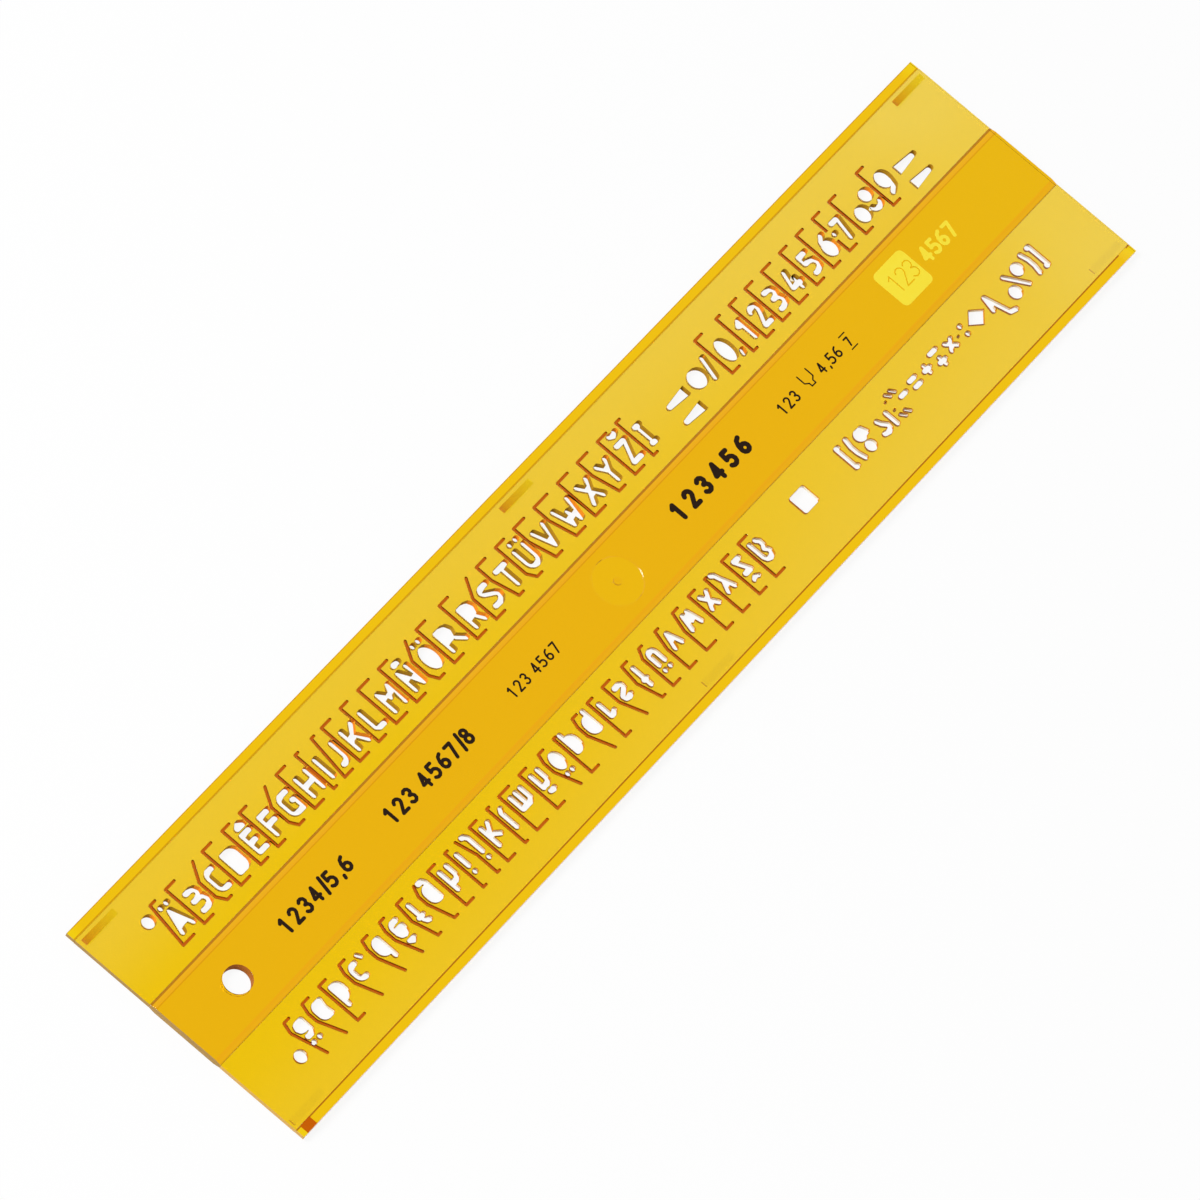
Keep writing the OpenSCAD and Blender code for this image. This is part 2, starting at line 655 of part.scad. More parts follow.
module signs() {
  sign(0) square_bracket_sign();
  sign(5.7) round_bracket_sign();
  sign(11) and_sign();
  sign(21.6) question_mark();
  sign(29.8) exclamation_mark();
  sign(37.3) quote_marks();
  sign(40.9) pen([[0, 3.3], [3.8, 3.3]], sign_w);
  sign(49.3) equals_sign();
  sign(60, 3.3) plus_sign();
  sign(68.3) plus_minus_sign();
  sign(75.1) times_sign();
  for (y = [0.9, 5.6]) sign(86.9, y) circle(d = dot_d);
  sign(95.9, 3.4) rhombus();
  sign(104.3) root_sign();
  for (p = [[33.9, 0.1], [33.9, 5.2], [82.7, 3.4]]) sign(p.x, p.y) circle(d = pinprick_d);
  sign(118.6) percent_sign();
  sign(135.2) mirror([1, 0]) round_bracket_sign();
  sign(140.2) mirror([1, 0]) square_bracket_sign();
}

// A row of letters: each child stands in its own cell, a little to the right of its bracket
module row(cells, start, lead) {
  for (i = [0 : $children - 1])
    translate([left + start + lead + cell_x(cells, i), line_y]) children(i);
}
module brackets(cells, start) {
  for (i = [0 : len(cells) - 1])
    translate([left + start + cell_x(cells, i), line_y]) bracket(cells[i]);
}
module capital_slots() {
  row(capital_cells, capital_start, capital_lead) {
    capital_a();
    capital_b();
    capital_c();
    capital_d();
    capital_e();
    capital_f();
    capital_g();
    capital_h();
    capital_i();
    capital_j();
    capital_k();
    capital_l();
    capital_m();
    capital_n();
    capital_o();
    capital_p();
    capital_r();
    capital_s();
    capital_t();
    capital_u();
    capital_v();
    capital_w();
    capital_x();
    capital_y();
    capital_z();
    union() {
      capital_i_with_feet();
      fraction_marks();
    }
    figure_0();
    figure_1();
    figure_2();
    figure_3();
    figure_4();
    figure_5();
    figure_6();
    figure_7();
    figure_8();
    union() {
      figure_9();
      end_marks();
    }
  }
}
module small_slots() {
  row(small_cells, small_start, small_lead) {
    small_a();
    small_open_a();
    small_b();
    small_c();
    small_d();
    small_e();
    small_f();
    small_g();
    small_h();
    small_i();
    small_j();
    small_k();
    small_l();
    small_m();
    small_n();
    small_o();
    small_p();
    small_q();
    small_r();
    small_s();
    small_t();
    small_u();
    small_v();
    small_w();
    small_x();
    small_y();
    small_z();
    small_sharp_s();
  }
}
// The bracket of the 7 leaves the slot of the decimal point free
module capital_grooves() {
  difference() {
    brackets(capital_cells, capital_start);
    translate([left + capital_start + cell_x(capital_cells, 33), line_y + point_at.y * tenth])
      square(bracket_gap, center = true);
  }
}

// A half of the plate as it lies with its own letters the right way up
module wing(pin_x, pin_y) {
  difference() {
    translate([left, band_y, proud]) cube([plate_l, rail_y - band_y, wing_t]);
    translate([0, 0, proud - eps]) linear_extrude(wing_t + 2 * eps) {
      translate([left + pin_x, edge_y - pin_y]) circle(d = pin_hole_d);
      children(0);
    }
    translate([0, 0, wing_top - groove_depth]) linear_extrude(groove_depth + eps) children(1);
  }
}

// Anything turned over about the long axis, as the plate is before the small letters are used
module turned_over() {
  translate([0, 0, band_t]) rotate([180, 0, 0]) children();
}

module centre_band() {
  color(amber_thick) difference() {
    translate([left, 0, 0]) rotate([90, 0, 90]) linear_extrude(plate_l) polygon([
      [-band_y + band_slope, 0], [band_y - band_slope, 0],
      [band_y, proud], [band_y, wing_top],
      [band_y - band_slope, band_t], [-band_y + band_slope, band_t],
      [-band_y, wing_top], [-band_y, proud]
    ]);
    translate([left + hang_inset, 0, -eps]) cylinder(d = hang_d, h = band_t + 2 * eps);
    difference() {
      translate([0, 0, band_t - gate_depth]) cylinder(d = gate_d, h = gate_depth + eps);
      translate([0, 0, band_t - gate_depth - eps]) cylinder(d = gate_ring_d, h = gate_depth);
    }
  }
}

module capital_wing() {
  color(amber) wing(capital_pin_x, capital_pin_y) {
    capital_slots();
    capital_grooves();
  }
}

module small_letter_wing() {
  color(amber) mirror([0, 1, 0]) wing(small_pin_x, small_pin_y) {
    union() {
      small_slots();
      signs();
      translate([left + window_x, line_y + 3.4 * tenth]) rounded_square(window_side, window_r);
    }
    brackets(small_cells, small_start);
  }
}

// The rail stands proud of the face that meets the paper when its own letters are used
module paper_rail() {
  translate([left, edge_y, 0]) rotate([90, 0, 0]) linear_extrude(rail_w) polygon([
    [0, wing_top], [0, proud], [rail_inset, proud], [rail_inset + rail_run, 0],
    [plate_l - rail_inset - rail_run, 0], [plate_l - rail_inset, proud], [plate_l, proud],
    [plate_l, wing_top]
  ]);
}
module capital_rail() {
  color(amber) paper_rail();
}
module small_letter_rail() {
  color(amber) turned_over() paper_rail();
}

// A wedge foot on the wing's upper face, steep towards the hanging hole
module wedge_foot(i) {
  translate([left + foot_x[i], foot_y + foot_w, wing_top]) rotate([90, 0, 0])
    linear_extrude(foot_w) polygon([[0, 0], [foot_l, 0], [foot_l, foot_toe], [foot_heel, proud]]);
}
module capital_foot_1() {
  color(amber) wedge_foot(0);
}
module capital_foot_2() {
  color(amber) wedge_foot(1);
}
module capital_foot_3() {
  color(amber) wedge_foot(2);
}
module small_letter_foot_1() {
  color(amber) turned_over() wedge_foot(0);
}
module small_letter_foot_2() {
  color(amber) turned_over() wedge_foot(1);
}
module small_letter_foot_3() {
  color(amber) turned_over() wedge_foot(2);
}

// Printed figures as pen strokes, in tenths of their height: 0 to 9, then a slash, a comma
// and a gap
slash = 10;
comma = 11;
gap = 12;
function figure_strokes(n) =
  n == 0 ? [concat(bow([2.5, 7.5], 2.5, 0, 180, 6), bow([2.5, 2.5], 2.5, 180, 360, 6), [[5, 7.5]])] :
  n == 1 ? [[[0.7, 8.2], [2.7, 10], [2.7, 0]]] :
  n == 2 ? [concat(bow([2.5, 7.5], 2.5, 165, -30, 6), [[0, 0], [5, 0]])] :
  n == 3 ? [bow([2.4, 7.6], 2.4, 150, -90, 6), bow([2.4, 2.6], 2.6, 90, -150, 6)] :
  n == 4 ? [[[3.8, 0], [3.8, 10], [0, 3], [5.2, 3]]] :
  n == 5 ? [concat([[4.6, 10], [0.9, 10]], bow([2.4, 3], 3, 130, -140, 8))] :
  n == 6 ? [bow([2.6, 2.7], 2.6, 0, 360, 10), [[4.2, 9.9], [2, 8.8], [0.5, 6], [0, 2.7]]] :
  n == 7 ? [[[0, 10], [5, 10], [1.8, 0]]] :
  n == 8 ? [bow([2.5, 7.7], 2.2, 0, 360, 10), bow([2.5, 2.7], 2.6, 0, 360, 10)] :
  n == 9 ? [bow([2.6, 7.3], 2.6, 0, 360, 10), [[1, 0.1], [3.2, 1.2], [4.7, 4], [5.2, 7.3]]] :
  n == slash ? [[[0, -1], [2.6, 11]]] :
  n == comma ? [[[1.2, 0.2], [0.7, -1.6]]] :
  [];
function figure_x(list, i) = i == 0 ? 0 : figure_x(list, i - 1) + (list[i - 1] > 9 ? 0.5 : 1);

module figures(x, list, height, stroke, pitch) {
  for (i = [0 : len(list) - 1])
    translate([left + x + figure_x(list, i) * pitch, print_line + stroke / 2])
      for (path = figure_strokes(list[i])) pen(path * height / letter_h, stroke);
}
module rounded_square(side, r) {
  c = side / 2 - r;
  polygon(concat(
    bow([c, c], r, 0, 90), bow([-c, c], r, 90, 180), bow([-c, -c], r, 180, 270), bow([c, -c], r, 270, 360)
  ));
}
module printed() {
  translate([0, 0, band_t]) linear_extrude(ink_t) children();
}

module figures_left() {
  color(black) printed() figures(figures_left_x, [1, 2, 3, 4, slash, 5, comma, 6],
    figure_h, figure_stroke, figure_pitch);
}
module figures_middle() {
  color(black) printed()
    figures(figures_middle_x, [1, 2, 3, gap, 4, 5, 6, 7, slash, 8],
      figure_h, figure_stroke, middle_pitch);
}
module figures_small() {
  color(black) printed()
    figures(figures_small_x, [1, 2, 3, gap, 4, 5, 6, 7],
      small_figure_h, small_figure_stroke, small_figure_pitch);
}
module figures_bold() {
  color(black) printed()
    figures(figures_bold_x, [1, 2, 3, 4, 5, 6], bold_figure_h, bold_figure_stroke, bold_pitch);
}
// The size key: figures, the outline of a pen's point, figures, and one between two bars
module size_key() {
  color(black) printed() {
    figures(size_key_x, [1, 2, 3], small_figure_h, small_figure_stroke, small_figure_pitch);
    translate([left + size_key_x + key_point_gap, print_line + small_figure_stroke / 2]) pen(
      [[0, 7.5], [0, 3], [1.7, 1.7], [1.7, 0], [4.2, 0], [4.2, 1.7], [5.9, 3], [5.9, 7.5]],
      key_line_w);
    figures(size_key_x + key_width_gap, [4, comma, 5, 6],
      small_figure_h, small_figure_stroke, small_figure_pitch);
    figures(size_key_x + key_bars_gap + small_figure_stroke, [7],
      small_figure_h * key_small, small_figure_stroke, small_figure_pitch);
    for (y = key_bar_y) translate([left + size_key_x + key_bars_gap, print_line + y])
      square([key_bar_l, key_bar_w]);
  }
}
module foil_square() {
  color(foil) printed() difference() {
    translate([left + foil_x + foil_side / 2, foil_rise]) rounded_square(foil_side, foil_r);
    figures(foil_x + foil_margin, [1, 2, 3], foil_clear_h, foil_clear_w, foil_clear_pitch);
  }
}
module foil_figures() {
  color(foil) printed()
    figures(foil_figures_x, [4, 5, 6, 7], figure_h, figure_stroke, foil_pitch);
}

centre_band();
capital_wing();
small_letter_wing();
capital_rail();
small_letter_rail();
capital_foot_1();
capital_foot_2();
capital_foot_3();
small_letter_foot_1();
small_letter_foot_2();
small_letter_foot_3();
figures_left();
figures_middle();
figures_small();
figures_bold();
size_key();
foil_square();
foil_figures();
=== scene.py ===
import json
import math

import bpy
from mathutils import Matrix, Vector

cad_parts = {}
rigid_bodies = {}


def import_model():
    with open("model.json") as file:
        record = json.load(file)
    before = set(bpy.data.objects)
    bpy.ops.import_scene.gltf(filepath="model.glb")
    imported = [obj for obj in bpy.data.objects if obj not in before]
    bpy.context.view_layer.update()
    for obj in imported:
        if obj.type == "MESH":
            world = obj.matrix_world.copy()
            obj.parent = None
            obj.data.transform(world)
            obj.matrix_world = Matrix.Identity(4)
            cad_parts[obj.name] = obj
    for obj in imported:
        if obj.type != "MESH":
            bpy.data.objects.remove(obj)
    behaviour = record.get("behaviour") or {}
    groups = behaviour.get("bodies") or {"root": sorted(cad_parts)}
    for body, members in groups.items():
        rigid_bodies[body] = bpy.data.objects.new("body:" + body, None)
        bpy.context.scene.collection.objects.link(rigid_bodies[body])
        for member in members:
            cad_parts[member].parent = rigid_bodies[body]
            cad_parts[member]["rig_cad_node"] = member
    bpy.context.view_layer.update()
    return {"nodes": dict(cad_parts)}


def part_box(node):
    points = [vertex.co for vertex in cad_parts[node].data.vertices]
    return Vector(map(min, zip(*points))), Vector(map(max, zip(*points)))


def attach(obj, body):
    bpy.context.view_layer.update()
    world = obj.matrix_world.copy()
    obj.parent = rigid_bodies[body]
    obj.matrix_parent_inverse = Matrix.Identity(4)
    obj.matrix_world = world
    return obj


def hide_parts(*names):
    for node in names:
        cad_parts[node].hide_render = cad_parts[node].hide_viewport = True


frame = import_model()

# The centre band. The thick middle of one injection moulding in clear amber plastic, polished
# all over, with a slope along each side, the hanging hole, and the shallow dish in its middle
# that the gate was cut from. Its edges have the fine radius of the mould.
mm = 0.001
# Two places that differ by less than this are the same, and a bend of less than this is flat
touch = 0.001 * mm
flat = math.radians(0.2)


class Shade:
    """One socket of a material. Sums and products of it add their own Math nodes."""

    def __init__(self, tree, socket=None):
        self.tree = tree
        self.socket = socket

    def feed(self, node, sockets):
        for key, value in sockets.items():
            if isinstance(value, Shade):
                self.tree.links.new(value.socket, node.inputs[key])
            else:
                node.inputs[key].default_value = value

    def node(self, kind, settings, sockets, out=0):
        """Adds any node: its type, its settings, and the values or links of its sockets."""
        made = self.tree.nodes.new(kind)
        for key, value in settings.items():
            setattr(made, key, value)
        self.feed(made, sockets)
        return Shade(self.tree, made.outputs[out])

    def maths(self, operation, other):
        return self.node("ShaderNodeMath", {"operation": operation}, {0: self, 1: other})

    def __add__(self, other):
        return self.maths("ADD", other)

    def __sub__(self, other):
        return self.maths("SUBTRACT", other)

    def __rsub__(self, other):
        return self.node("ShaderNodeMath", {"operation": "SUBTRACT"}, {0: other, 1: self})

    def __mul__(self, other):
        return self.maths("MULTIPLY", other)

    __radd__ = __add__
    __rmul__ = __mul__


def new_finish(name):
    """A new material, its shader, and the place on the piece that its patterns read."""
    finish = bpy.data.materials.new(name)
    finish.use_nodes = True
    place = Shade(finish.node_tree).node("ShaderNodeTexCoord", {}, {}, "Object")
    return finish, finish.node_tree.nodes["Principled BSDF"], place


def noise(place, scale, detail=2.0):
    return place.node("ShaderNodeTexNoise", {}, {"Vector": place, "Scale": scale, "Detail": detail})


def blend(place, share, first, last):
    """A colour between two others."""
    return place.node("ShaderNodeMix", {"data_type": "RGBA"},
                      {0: share, 6: (*first, 1.0), 7: (*last, 1.0)}, 2)


def mottled(first, last, scale=35.0):
    """A tint that wanders between two colours."""
    return lambda place: blend(place, noise(place, scale), first, last)


def along(place, axis, low, high):
    """How far a place is from low to high along an axis, from 0 to 1, easing in and out."""
    part = place.node("ShaderNodeSeparateXYZ", {}, {0: place}, axis)
    return place.node("ShaderNodeMapRange", {"interpolation_type": "SMOOTHSTEP"},
                      {"Value": part, "From Min": low, "From Max": high})


# What a metre of the plastic takes from red, green and blue light
amber_takes = (60.0, 440.0, 6400.0)


def amber(name, tint, polish=0.03, matt=0.05, clear=1.0, depth=1.0):
    """Clear amber plastic, coloured by its own depth, so that edges and thick parts go orange.
    tint gives its surface colour from the place on the piece. clear is the share of the light
    that passes; the rest is the faint haze of fine scratches. depth is the share of amber_takes
    that counts."""
    finish, shader, place = new_finish(name)
    most = max(amber_takes)
    place.feed(shader, {
        "Base Color": tint(place), "Roughness": polish + matt * noise(place, 900.0, 4.0),
        "IOR": 1.49, "Transmission Weight": clear,
        "Normal": place.node("ShaderNodeBump", {}, {
            "Strength": 0.15, "Distance": 0.02 * mm, "Height": noise(place, 160.0)})})
    inside = place.node("ShaderNodeVolumeAbsorption", {}, {
        "Color": (*[1.0 - v / most for v in amber_takes], 1.0), "Density": most * depth})
    place.tree.links.new(inside.socket, place.tree.nodes["Material Output"].inputs["Volume"])
    return finish


def sawn(name, first, last):
    """A face that a cutter left matt, so that it scatters light; its colours here are painted light and
    shade.
    """
    finish, shader, place = new_finish(name)
    grain = noise(place, 900.0, 4.0)
    place.feed(shader, {
        "Base Color": blend(place, noise(place, 300.0), first, last),
        "Specular IOR Level": 0.1, "Roughness": 0.5 + 0.3 * grain,
        "Normal": place.node("ShaderNodeBump", {}, {
            "Strength": 0.3, "Distance": 0.02 * mm, "Height": grain})})
    return finish


def alone(piece):
    bpy.ops.object.select_all(action="DESELECT")
    piece.select_set(True)
    bpy.context.view_layer.objects.active = piece


def pick(piece, where):
    """Selects the faces of a piece for which where(middle, normal) holds, in edit mode."""
    alone(piece)
    bpy.ops.object.mode_set(mode="EDIT")
    bpy.ops.mesh.select_all(action="DESELECT")
    bpy.ops.object.mode_set(mode="OBJECT")
    for face in piece.data.polygons:
        face.select = where(face.center, face.normal)
    bpy.ops.object.mode_set(mode="EDIT")
    bpy.ops.mesh.select_mode(type="FACE")


def moulded(node, name, finishes, seams=()):
    """A copy of a CAD solid with whole faces in place of loose triangles. Each seam, given as a
    place in Y and a step, is drawn back by that step, so that two clear pieces share no face."""
    alone(frame["nodes"][node])
    bpy.ops.object.duplicate()
    piece = bpy.context.object
    del piece["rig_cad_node"]
    piece.name = piece.data.name = name
    piece.data.materials.clear()
    for finish in finishes:
        piece.data.materials.append(finish)
    bpy.ops.object.mode_set(mode="EDIT")
    bpy.ops.mesh.select_all(action="SELECT")
    bpy.ops.mesh.remove_doubles(threshold=touch)
    bpy.ops.mesh.dissolve_limited(angle_limit=flat)
    bpy.ops.object.mode_set(mode="OBJECT")
    for y, step in seams:
        pick(piece, lambda c, n: abs(c.y - y) < touch and abs(n.y) > 0.9)
        bpy.ops.transform.translate(value=(0, step, 0))
        bpy.ops.object.mode_set(mode="OBJECT")
    return piece


def near(point, lines, reach):
    """Whether a point seen from above is within reach of any of the lines."""
    for first, last in lines:
        share = (point - first).dot(last - first) / (last - first).length_squared
        nearest = first.lerp(last, min(1.0, max(0.0, share)))
        if (nearest - point).length < reach:
            return True
    return False


def leant(piece, where, z, step, keep_off=()):
    """Moves the edges at a height in Z, of the faces for which where(middle, normal) holds, by
    a step in X: the draft that lets the mould's pins out. Points that would come too close to
    the lines of keep_off stay. The face around those edges is then filled anew."""
    points = piece.data.vertices
    least_wall = 0.08 * mm
    moved = {v for face in piece.data.polygons if where(face.center, face.normal)
             for v in face.vertices if abs(points[v].co.z - z) < touch
             and not near(points[v].co.to_2d() + Vector((step, 0)), keep_off, least_wall)}
    alone(piece)
    bpy.ops.object.mode_set(mode="EDIT")
    bpy.ops.mesh.select_mode(type="VERT")
    bpy.ops.mesh.select_all(action="DESELECT")
    bpy.ops.object.mode_set(mode="OBJECT")
    for v in moved:
        points[v].select = True
    bpy.ops.object.mode_set(mode="EDIT")
    bpy.ops.transform.translate(value=(step, 0, 0))
    bpy.ops.object.mode_set(mode="OBJECT")
    pick(piece, lambda c, n: abs(c.z - z) < touch and n.z > 0.99)
    bpy.ops.mesh.delete(type="ONLY_FACE")
    bpy.ops.mesh.select_mode(type="EDGE")
    bpy.ops.mesh.select_all(action="DESELECT")
    bpy.ops.mesh.select_non_manifold(use_wire=False, use_multi_face=False,
                                     use_non_contiguous=False, use_verts=False)
    piece.active_material_index = 0
    bpy.ops.mesh.fill()
    bpy.ops.mesh.select_all(action="SELECT")
    bpy.ops.mesh.normals_make_consistent()
    bpy.ops.mesh.dissolve_limited(angle_limit=flat, delimit={"MATERIAL"})
    bpy.ops.object.mode_set(mode="OBJECT")


def split(piece, *heights, up=(0, 1, 0)):
    """Cuts the faces across at these heights, in Y or else along up, with nothing taken away."""
    alone(piece)
    bpy.ops.object.mode_set(mode="EDIT")
    for height in heights:
        bpy.ops.mesh.select_all(action="SELECT")
        bpy.ops.mesh.bisect(plane_co=height * Vector(up), plane_no=up)
    bpy.ops.object.mode_set(mode="OBJECT")


def give(piece, finish, where):
    """Gives the faces for which where(middle, normal) holds one of the piece's finishes."""
    pick(piece, where)
    piece.active_material_index = piece.data.materials.find(finish.name)
    bpy.ops.object.material_slot_assign()
    bpy.ops.object.mode_set(mode="OBJECT")


def edge_broken(piece, radius):
    """The fine radius that the mould leaves on every sharp edge."""
    alone(piece)
    rounding = piece.modifiers.new("edge radius", "BEVEL")
    rounding.width = radius
    rounding.segments = 2
    rounding.limit_method = "ANGLE"
    rounding.angle_limit = math.radians(38)
    rounding.harden_normals = True
    bpy.ops.object.modifier_apply(modifier=rounding.name)


def fitted(piece, node):
    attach(piece, "root")
    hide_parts(node)


hair = 0.01 * mm
draft = 0.2 * mm
edge_radius = 0.06 * mm
# No opening comes closer than this to the outer sides
margin = 1 * mm
hole_reach = 4 * mm
band_low, band_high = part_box("centre_band")
deck = band_high.z
# Across the sloped sides: a slope's width, the shoulder above it, and the painted shade lines at their
# feet
slope = 1.1 * mm
shoulder = 0.2 * mm
foot_line = 0.38 * mm
thin_foot_line = 0.6 * foot_line
shoulder_y = band_high.y - slope - shoulder
# Painted sheen: the band's amber is painted paler towards its far end in X.
band_amber = amber("band amber", lambda place: blend(
    place, along(place, "X", 20 * mm, 102 * mm), (0.97, 0.94, 0.3), (0.96, 1.0, 0.6)))
# Painted shade: the slopes get a deeper orange copy of the same amber.
painted_shade_slope_amber = amber("painted shade amber of the slopes", mottled((0.98, 0.74, 0.3), (1.0, 0.8, 0.4)))
# Painted shade: a dark line at the foot of the capitals' slope and along the small letters' rail's inner
# edge.
painted_dark_edge = amber("painted dark line amber", mottled((0.34, 0.15, 0.0), (0.38, 0.17, 0.0)))
# Painted shade: a softer orange line at the foot of the other slope and on the capitals' shoulder.
painted_soft_edge = amber("painted soft line amber", mottled((0.78, 0.56, 0.1), (0.82, 0.6, 0.15)))
# Painted shade on the near ends of the band and of the capitals' wing and rail.
painted_shade_end = sawn("painted shade end", (0.36, 0.22, 0.07), (0.46, 0.28, 0.09))
# Painted shade on the hanging hole's side, all but its faces towards +X.
painted_shade_hole_wall = sawn("painted shade on the hanging hole's side", (0.5, 0.17, 0.02), (0.34, 0.1, 0.012))


def is_hole(c, n):
    """The side of the hanging hole, upright or leant, and no part of the plate's ends."""
    return abs(n.z) < 0.3 and c.x > band_low.x + margin and abs(c.y) < hole_reach


def is_slope(c, n):
    return 0.8 < n.z < 0.99


def is_left_end(c, n):
    return n.x < -0.99 and c.x < band_low.x + hair


band = moulded("centre_band", "band_moulding",
               [band_amber, painted_shade_slope_amber, painted_dark_edge, painted_soft_edge, painted_shade_end, painted_shade_hole_wall],
               [(band_low.y, hair), (band_high.y, -hair)])
leant(band, lambda c, n: is_hole(c, n) and n.x < -0.2, deck, draft)
split(band, band_high.y - foot_line, band_low.y + thin_foot_line, shoulder_y)
give(band, painted_shade_slope_amber, is_slope)
give(band, painted_dark_edge, lambda c, n: is_slope(c, n) and c.y > band_high.y - foot_line)
give(band, painted_soft_edge, lambda c, n: is_slope(c, n) and c.y < band_low.y + thin_foot_line)
give(band, painted_soft_edge, lambda c, n: n.z > 0.99 and c.y > shoulder_y)
give(band, painted_shade_end, is_left_end)
give(band, painted_shade_hole_wall, lambda c, n: is_hole(c, n) and n.x < 0.1)
edge_broken(band, edge_radius)
fitted(band, "centre_band")

# The two lettering wings. Thin plates of the same moulding, with the letters cut right through
# and a spacing bracket beside each letter, sunk in the upper face and left matt by the cutter.
# The brackets and the sides of the slots carry painted light and painted shade.
wing_low, wing_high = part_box("capital_wing")
thin_radius = 0.05 * mm
groove_depth = 0.35 * mm
groove_floor = wing_high.z - groove_depth
# How far down the slots of the small letters are painted dark, a painted shade
rim = 0.33 * mm
# How close to a bracket's outline a slot's side gets the painted orange glow, and how close a side
# is when it belongs to the bracket itself
beside = 0.75 * mm
own = 0.03 * mm


def wing_tint_with_painted_sheen(place):
    """Deep yellow by the band, painted paler towards the rails and the far end: a painted sheen."""
    far = along(place, "X", -60 * mm, 130 * mm)
    end = along(place, "X", 80 * mm, 98 * mm)
    out = along(place, "Y", 6 * mm, 20 * mm) + 0.5 * along(place, "Y", -8 * mm, -22 * mm)
    share = (0.55 * far + 0.3 * end + 0.3 * out).maths("MINIMUM", 1.0)
    return blend(place, share, (0.98, 0.86, 0.0), (1.0, 1.0, 1.0))


wing_amber = amber("wing amber", wing_tint_with_painted_sheen, clear=0.92)
# Painted shade: the brackets' floors and sides are painted dark orange.
painted_shade_groove_amber = amber("matt amber with painted groove shade", mottled((0.46, 0.042, 0.0), (0.38, 0.032, 0.0)), 0.3, 0.2)
# Painted light: the brackets' sides that face +X are painted bright orange.
painted_light_groove_side = sawn("painted light on a groove's side", (1.0, 0.5, 0.03), (0.9, 0.4, 0.02))
# Painted shade: the capitals' slot sides, all but those facing +X, are painted brown.
painted_shade_slot_wall = sawn("cut slot side with painted shade", (0.5, 0.26, 0.012), (0.38, 0.19, 0.01))
# Painted glow: the brown slot sides near a bracket are painted bright orange.
painted_glow_slot_wall = sawn("painted glow on a slot wall by a groove", (0.95, 0.32, 0.015), (0.8, 0.25, 0.012))
# Painted light: the other slot sides are painted near white.
painted_light_slot_wall = sawn("slot wall with painted light", (1.0, 1.0, 0.85), (1.0, 0.98, 0.75))
# Painted shade: the small letters' slot sides facing +X or +Y, and the tops of their slots, are painted
# dark orange.
painted_dark_slot_wall = sawn("small slot wall with painted shade", (0.8, 0.34, 0.0), (0.65, 0.27, 0.0))
# Painted shade, lighter: the near ends of the small letters' wing and rail.
paler_painted_shade_end = sawn("paler painted shade end", (0.6, 0.36, 0.09), (0.7, 0.42, 0.12))


def is_inside(c):
    """Whether a face lies within the wing's outline, so isn't one of its outer sides."""
    return abs(c.x) < band_high.x - margin and wing_low.y + margin < abs(c.y) < wing_high.y - margin


def is_groove(c, n):
    """The floor and the sides of a bracket, before the slots get their finish."""
    return is_inside(c) and groove_floor - touch < c.z < wing_high.z - touch and (
        n.z > 0.9 or c.z > groove_floor + 0.4 * groove_depth)


def is_wall(c, n):
    """A slot's side, or its lower part where split."""
    return is_inside(c) and abs(n.z) < 0.1 and c.z < groove_floor


def is_rim(c, n):
    """The upper part of a slot's side, or a bracket's side."""
    return is_inside(c) and abs(n.z) < 0.1 and c.z > groove_floor


for node, side, end in (("capital_wing", 1, painted_shade_end), ("small_letter_wing", -1, paler_painted_shade_end)):
    wing = moulded(node, node + "_moulding", [
        wing_amber, painted_shade_groove_amber, painted_shade_slot_wall, painted_glow_slot_wall, painted_light_slot_wall, painted_dark_slot_wall, end, painted_light_groove_side], [
        (side * wing_low.y, side * hair), (side * wing_high.y, -side * hair)])
    points = wing.data.vertices
    grooves = [[points[v].co.to_2d() for v in key] for face in wing.data.polygons
               if is_groove(face.center, face.normal) for key in face.edge_keys]
    grooves = [line for line in grooves if (line[0] - line[1]).length > touch]
    if side < 0:
        split(wing, wing_high.z - rim, up=(0, 0, 1))
    give(wing, painted_light_slot_wall, is_wall)
    if side > 0:
        give(wing, painted_shade_slot_wall, lambda c, n: is_wall(c, n) and n.x < 0.1)
        give(wing, painted_glow_slot_wall, lambda c, n: is_wall(c, n) and n.x < 0.1
             and near(c.to_2d(), grooves, beside))
    else:
        give(wing, painted_dark_slot_wall, lambda c, n: is_wall(c, n) and (n.x > 0.3 or n.y > 0.3))
    give(wing, end, is_left_end)
    give(wing, painted_shade_groove_amber, is_groove)
    give(wing, painted_light_groove_side, lambda c, n: is_groove(c, n) and n.x > 0.2)
    if side < 0:
        give(wing, painted_dark_slot_wall, lambda c, n: is_rim(c, n) and not near(c.to_2d(), grooves, own))
    else:
        leant(wing, lambda c, n: is_wall(c, n) and n.x < -0.2, wing_high.z, draft, grooves)
    edge_broken(wing, thin_radius)
    fitted(wing, node)

# The paper rails. A bar along each long edge, proud of one face, that keeps wet ink off the
# stencil, moulded with the wing and sloped at both ends.
# The width of the painted shade line along each rail's inner edge
rail_line = 0.26 * mm
rail_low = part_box("capital_rail")[0]
rail_amber = amber("rail amber", mottled((1.0, 0.94, 0.3), (1.0, 1.0, 0.5)))
# Painted shade: the small letters' rail's near sloped end is painted dark red.
painted_shade_ramp_amber = amber("painted shade amber of the ramps", mottled((0.5, 0.07, 0.0), (0.42, 0.045, 0.0), 200.0), 0.1)
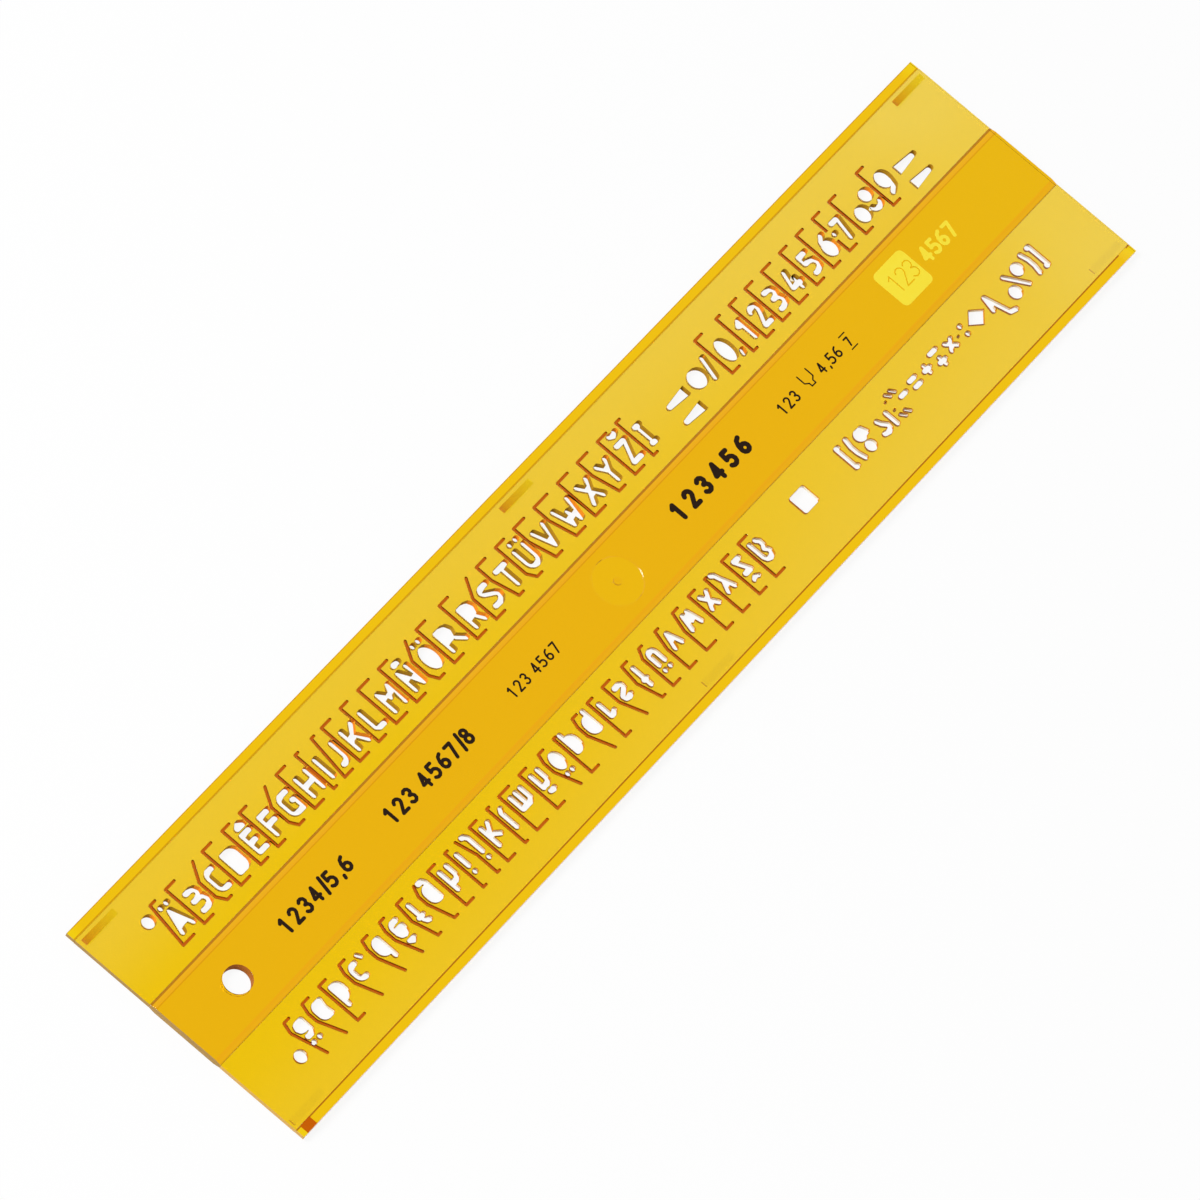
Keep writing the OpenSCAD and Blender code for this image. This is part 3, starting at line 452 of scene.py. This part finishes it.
# Painted shade: an olive line along the capitals' rail's inner edge.
painted_olive_edge = amber("painted olive line amber", mottled((0.56, 0.4, 0.03), (0.62, 0.44, 0.04)))
for node, side, line, end in (
        ("capital_rail", 1, painted_olive_edge, painted_shade_end), ("small_letter_rail", -1, painted_dark_edge, paler_painted_shade_end)):
    rail = moulded(node, node + "_moulding", [rail_amber, line, painted_shade_ramp_amber, end],
                   [(side * rail_low.y, side * hair)])
    split(rail, side * (rail_low.y + rail_line))
    give(rail, line, lambda c, n: n.z > 0.99 and side * c.y < rail_low.y + rail_line)
    give(rail, painted_shade_ramp_amber, lambda c, n: side < 0 and 0.5 < n.z < 0.995 and c.x < 0)
    give(rail, end, lambda c, n: n.x < -0.99)
    edge_broken(rail, edge_radius)
    fitted(rail, node)

# The wedge feet. Three small ramps along each edge on the face across from the rail, which
# keep that face level, moulded with the wing. The light that gathers at their steep ends is a
# painted glow.
foot_start, foot_end = [corner.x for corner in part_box("capital_foot_1")]
foot_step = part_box("capital_foot_2")[0].x - foot_start


def foot_tint_with_painted_glow(place):
    """A painted glow: deep orange at the steep end of each foot, and clear at its thin end."""
    part = (place.node("ShaderNodeSeparateXYZ", {}, {0: place}, "X") - foot_start) * (1 / foot_step)
    share = part.maths("FRACT", 0.0) * (foot_step / (foot_end - foot_start))
    return blend(place, share.maths("POWER", 0.6), (0.8, 0.42, 0.0), (1.0, 1.0, 0.3))


foot_amber = amber("capitals' foot amber", foot_tint_with_painted_glow, depth=0.05)
small_foot_amber = amber("small letters' foot amber",
                         mottled((1.0, 1.0, 0.9), (1.0, 1.0, 0.8)), depth=0.1)
for node in sorted(frame["nodes"]):
    if "foot" in node:
        up = 1 if node.startswith("capital") else -1
        foot = moulded(node, node + "_moulding", [foot_amber if up > 0 else small_foot_amber])
        root_z = wing_high.z if up > 0 else wing_low.z
        pick(foot, lambda c, n: abs(c.z - root_z) < touch and abs(n.z) > 0.9)
        bpy.ops.transform.translate(value=(0, 0, up * 2 * hair))
        bpy.ops.object.mode_set(mode="OBJECT")
        fitted(foot, node)

# The printing. A film of black ink, and beside it a bright yellow foil, both pressed on the band.
ink, shader, place = new_finish("black ink")
place.feed(shader, {
    "Base Color": blend(place, noise(place, 1500.0), (0.016, 0.006, 0.002), (0.024, 0.01, 0.004)),
    "Specular IOR Level": 0.2, "Roughness": 0.35 + 0.2 * noise(place, 2500.0)})
foil, shader, place = new_finish("yellow foil")
place.feed(shader, {
    "Base Color": blend(place, noise(place, 700.0), (1.0, 0.84, 0.05), (1.0, 0.78, 0.03)),
    "Roughness": 0.3 + 0.15 * noise(place, 1800.0)})
for node, mark in frame["nodes"].items():
    if node.startswith(("figures", "size", "foil")):
        mark.data.materials.clear()
        mark.data.materials.append(foil if node.startswith("foil") else ink)

# The table and the light. A plain white floor, seen as white by the camera and through the
# plastic, that still takes the stencil's shadow, under a sky that is bright low down and a
# large soft lamp.
bpy.ops.object.select_all(action="DESELECT")
bpy.ops.mesh.primitive_plane_add(size=6.0, location=(0, 0, -2 * hair))
floor = bpy.context.object
floor.name = "floor"
table, shader, place = new_finish("table white")
place.feed(shader, {"Base Color": (0.9, 0.9, 0.9, 1.0), "Roughness": 0.9,
                    "Specular IOR Level": 0.1})
ray = place.tree.nodes.new("ShaderNodeLightPath")
by_camera, by_gloss, through = [
    Shade(place.tree, ray.outputs[n]) for n in ("Is Camera Ray", "Is Glossy Ray", "Is Transmission Ray")]
glow = place.node("ShaderNodeEmission", {}, {"Color": (1.0, 1.0, 1.0, 1.0), "Strength": 1.0})
look = place.node("ShaderNodeMixShader", {}, {
    0: (0.9 * by_camera).maths("MAXIMUM", by_gloss + through),
    1: Shade(place.tree, shader.outputs[0]), 2: glow})
place.tree.links.new(look.socket, place.tree.nodes["Material Output"].inputs["Surface"])
floor.data.materials.append(table)

studio = bpy.data.worlds.new("studio")
bpy.context.scene.world = studio
studio.use_nodes = True
sky = Shade(studio.node_tree)
height = sky.node("ShaderNodeSeparateXYZ", {}, {
    0: sky.node("ShaderNodeTexCoord", {}, {}, "Generated")}, "Z")
sky.feed(studio.node_tree.nodes["Background"], {
    "Color": (1.0, 1.0, 1.0, 1.0), "Strength": 1.0 - 0.95 * height})

bpy.ops.object.light_add(type="AREA", location=(-0.6, 0.7, 1.0))
lamp = bpy.context.object
lamp.name = "soft lamp"
lamp.data.shape = "DISK"
lamp.data.size = 0.7
lamp.data.energy = 16.5
lamp.rotation_euler = (-Vector(lamp.location)).to_track_quat("-Z", "Y").to_euler()

# A long lens from about 1.6 m away, as the photo was taken
bpy.ops.object.camera_add(
    location=(-0.77835, -0.16563, 1.3794),
    rotation=[math.radians(v) for v in (26.499, -14.318, -51.540)])
camera = bpy.context.object
camera.data.sensor_width = 36.0
camera.data.lens = 324.0
camera.data.clip_start = 0.05
camera.data.clip_end = 20.0
bpy.context.scene.camera = camera
bpy.context.scene.view_settings.view_transform = "Standard"
bpy.context.scene.cycles.max_bounces = 32
bpy.context.scene.cycles.glossy_bounces = 32
bpy.context.scene.cycles.transmission_bounces = 32
